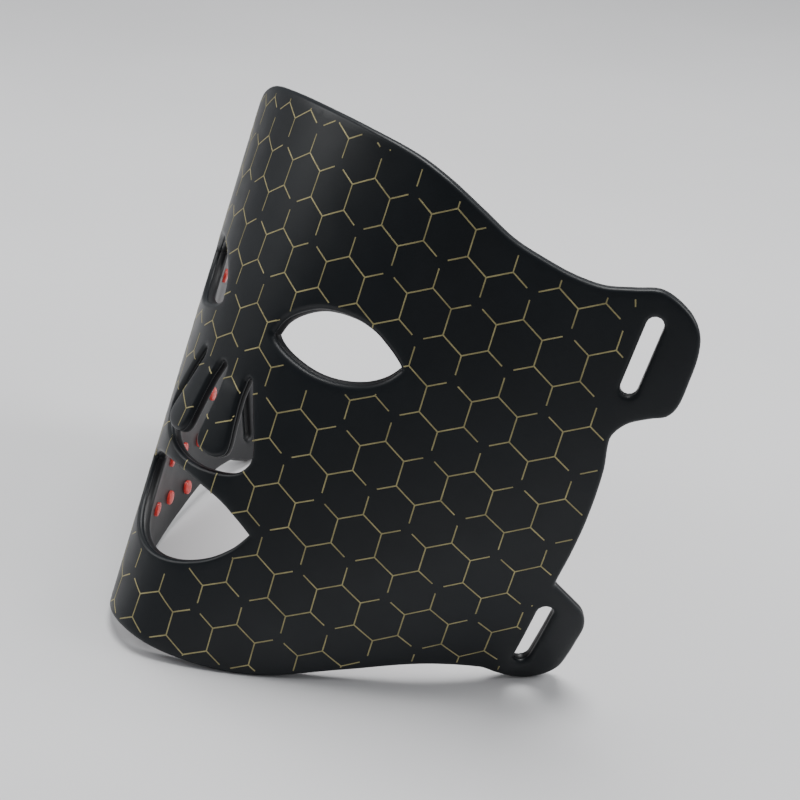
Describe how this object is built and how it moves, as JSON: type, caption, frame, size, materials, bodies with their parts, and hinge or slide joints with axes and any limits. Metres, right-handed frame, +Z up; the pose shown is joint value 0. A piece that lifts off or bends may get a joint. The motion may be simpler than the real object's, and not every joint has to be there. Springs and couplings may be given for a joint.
{
  "type": "led face mask",
  "caption": "Flexible curved light therapy face mask with eye, nose and mouth openings, nose flaps, folding side wings with strap slots and diodes under clear pads inside.",
  "frame": {"origin": "centre of the bounding box at its lowest level, where the mask stands on a table on its chin edge and two lower tabs", "axes": "+Z up, the mask looks towards -Y and leans back, the wearer's left is +X"},
  "size_m": [0.2836, 0.1604, 0.2079],
  "materials": {
    "front_silicone": "satin black silicone with a dull gold printed honeycomb",
    "back_silicone": "smooth dark silicone",
    "seal_silicone": "satin black silicone",
    "clear_silicone": "clear soft silicone",
    "housing_silicone": "smooth dark silicone",
    "circuit_film": "amber polyimide film",
    "led_package": "small diode packages",
    "stiff_plastic": "black moulded plastic",
    "plated_steel": "plated sheet steel",
    "tongue_plastic": "black moulded plastic"
  },
  "bodies": {
    "face_panel": {"brow_circuit": "circuit_film", "brow_leds": "led_package", "brow_lenses": "clear_silicone", "chin_circuit": "circuit_film", "chin_leds": "led_package", "chin_lenses": "clear_silicone", "inlet_housing": "housing_silicone", "inlet_shell": "plated_steel", "inlet_tongue": "tongue_plastic", "panel_back_skin": "back_silicone", "panel_edge_seal": "seal_silicone", "panel_front_skin": "front_silicone"},
    "left_wing": {"left_lower_slot_stiffener": "stiff_plastic", "left_upper_slot_stiffener": "stiff_plastic", "left_wing_back_skin": "back_silicone", "left_wing_circuit": "circuit_film", "left_wing_edge_seal": "seal_silicone", "left_wing_front_skin": "front_silicone", "left_wing_leds": "led_package", "left_wing_lenses": "clear_silicone"},
    "right_wing": {"right_lower_slot_stiffener": "stiff_plastic", "right_upper_slot_stiffener": "stiff_plastic", "right_wing_back_skin": "back_silicone", "right_wing_circuit": "circuit_film", "right_wing_edge_seal": "seal_silicone", "right_wing_front_skin": "front_silicone", "right_wing_leds": "led_package", "right_wing_lenses": "clear_silicone"},
    "left_nose_flap": {"left_flap_back_skin": "back_silicone", "left_flap_circuit": "circuit_film", "left_flap_edge_seal": "seal_silicone", "left_flap_front_skin": "front_silicone", "left_flap_leds": "led_package", "left_flap_lenses": "clear_silicone"},
    "right_nose_flap": {"right_flap_back_skin": "back_silicone", "right_flap_circuit": "circuit_film", "right_flap_edge_seal": "seal_silicone", "right_flap_front_skin": "front_silicone", "right_flap_leds": "led_package", "right_flap_lenses": "clear_silicone"}
  },
  "joints": [
    {"name": "left_wing_fold", "type": "hinge", "parent": "face_panel", "child": "left_wing", "pos_m": [0.0648, -0.01012, 0.0947], "axis": [-0.324, -0.51, -0.7968], "range_deg": [0, 25], "stiffness_Nm_per_rad": 0.5},
    {"name": "right_wing_fold", "type": "hinge", "parent": "face_panel", "child": "right_wing", "pos_m": [-0.0648, -0.01012, 0.0947], "axis": [-0.324, 0.51, 0.7968], "range_deg": [0, 25], "stiffness_Nm_per_rad": 0.5},
    {"name": "left_flap_lift", "type": "hinge", "parent": "face_panel", "child": "left_nose_flap", "pos_m": [0.00848, -0.03325, 0.11138], "axis": [-0.9945, -0.0955, 0.0424], "range_deg": [-5, 30], "stiffness_Nm_per_rad": 0.05},
    {"name": "right_flap_lift", "type": "hinge", "parent": "face_panel", "child": "right_nose_flap", "pos_m": [-0.00848, -0.03325, 0.11138], "axis": [-0.9945, 0.0955, -0.0424], "range_deg": [-5, 30], "stiffness_Nm_per_rad": 0.05}
  ]
}
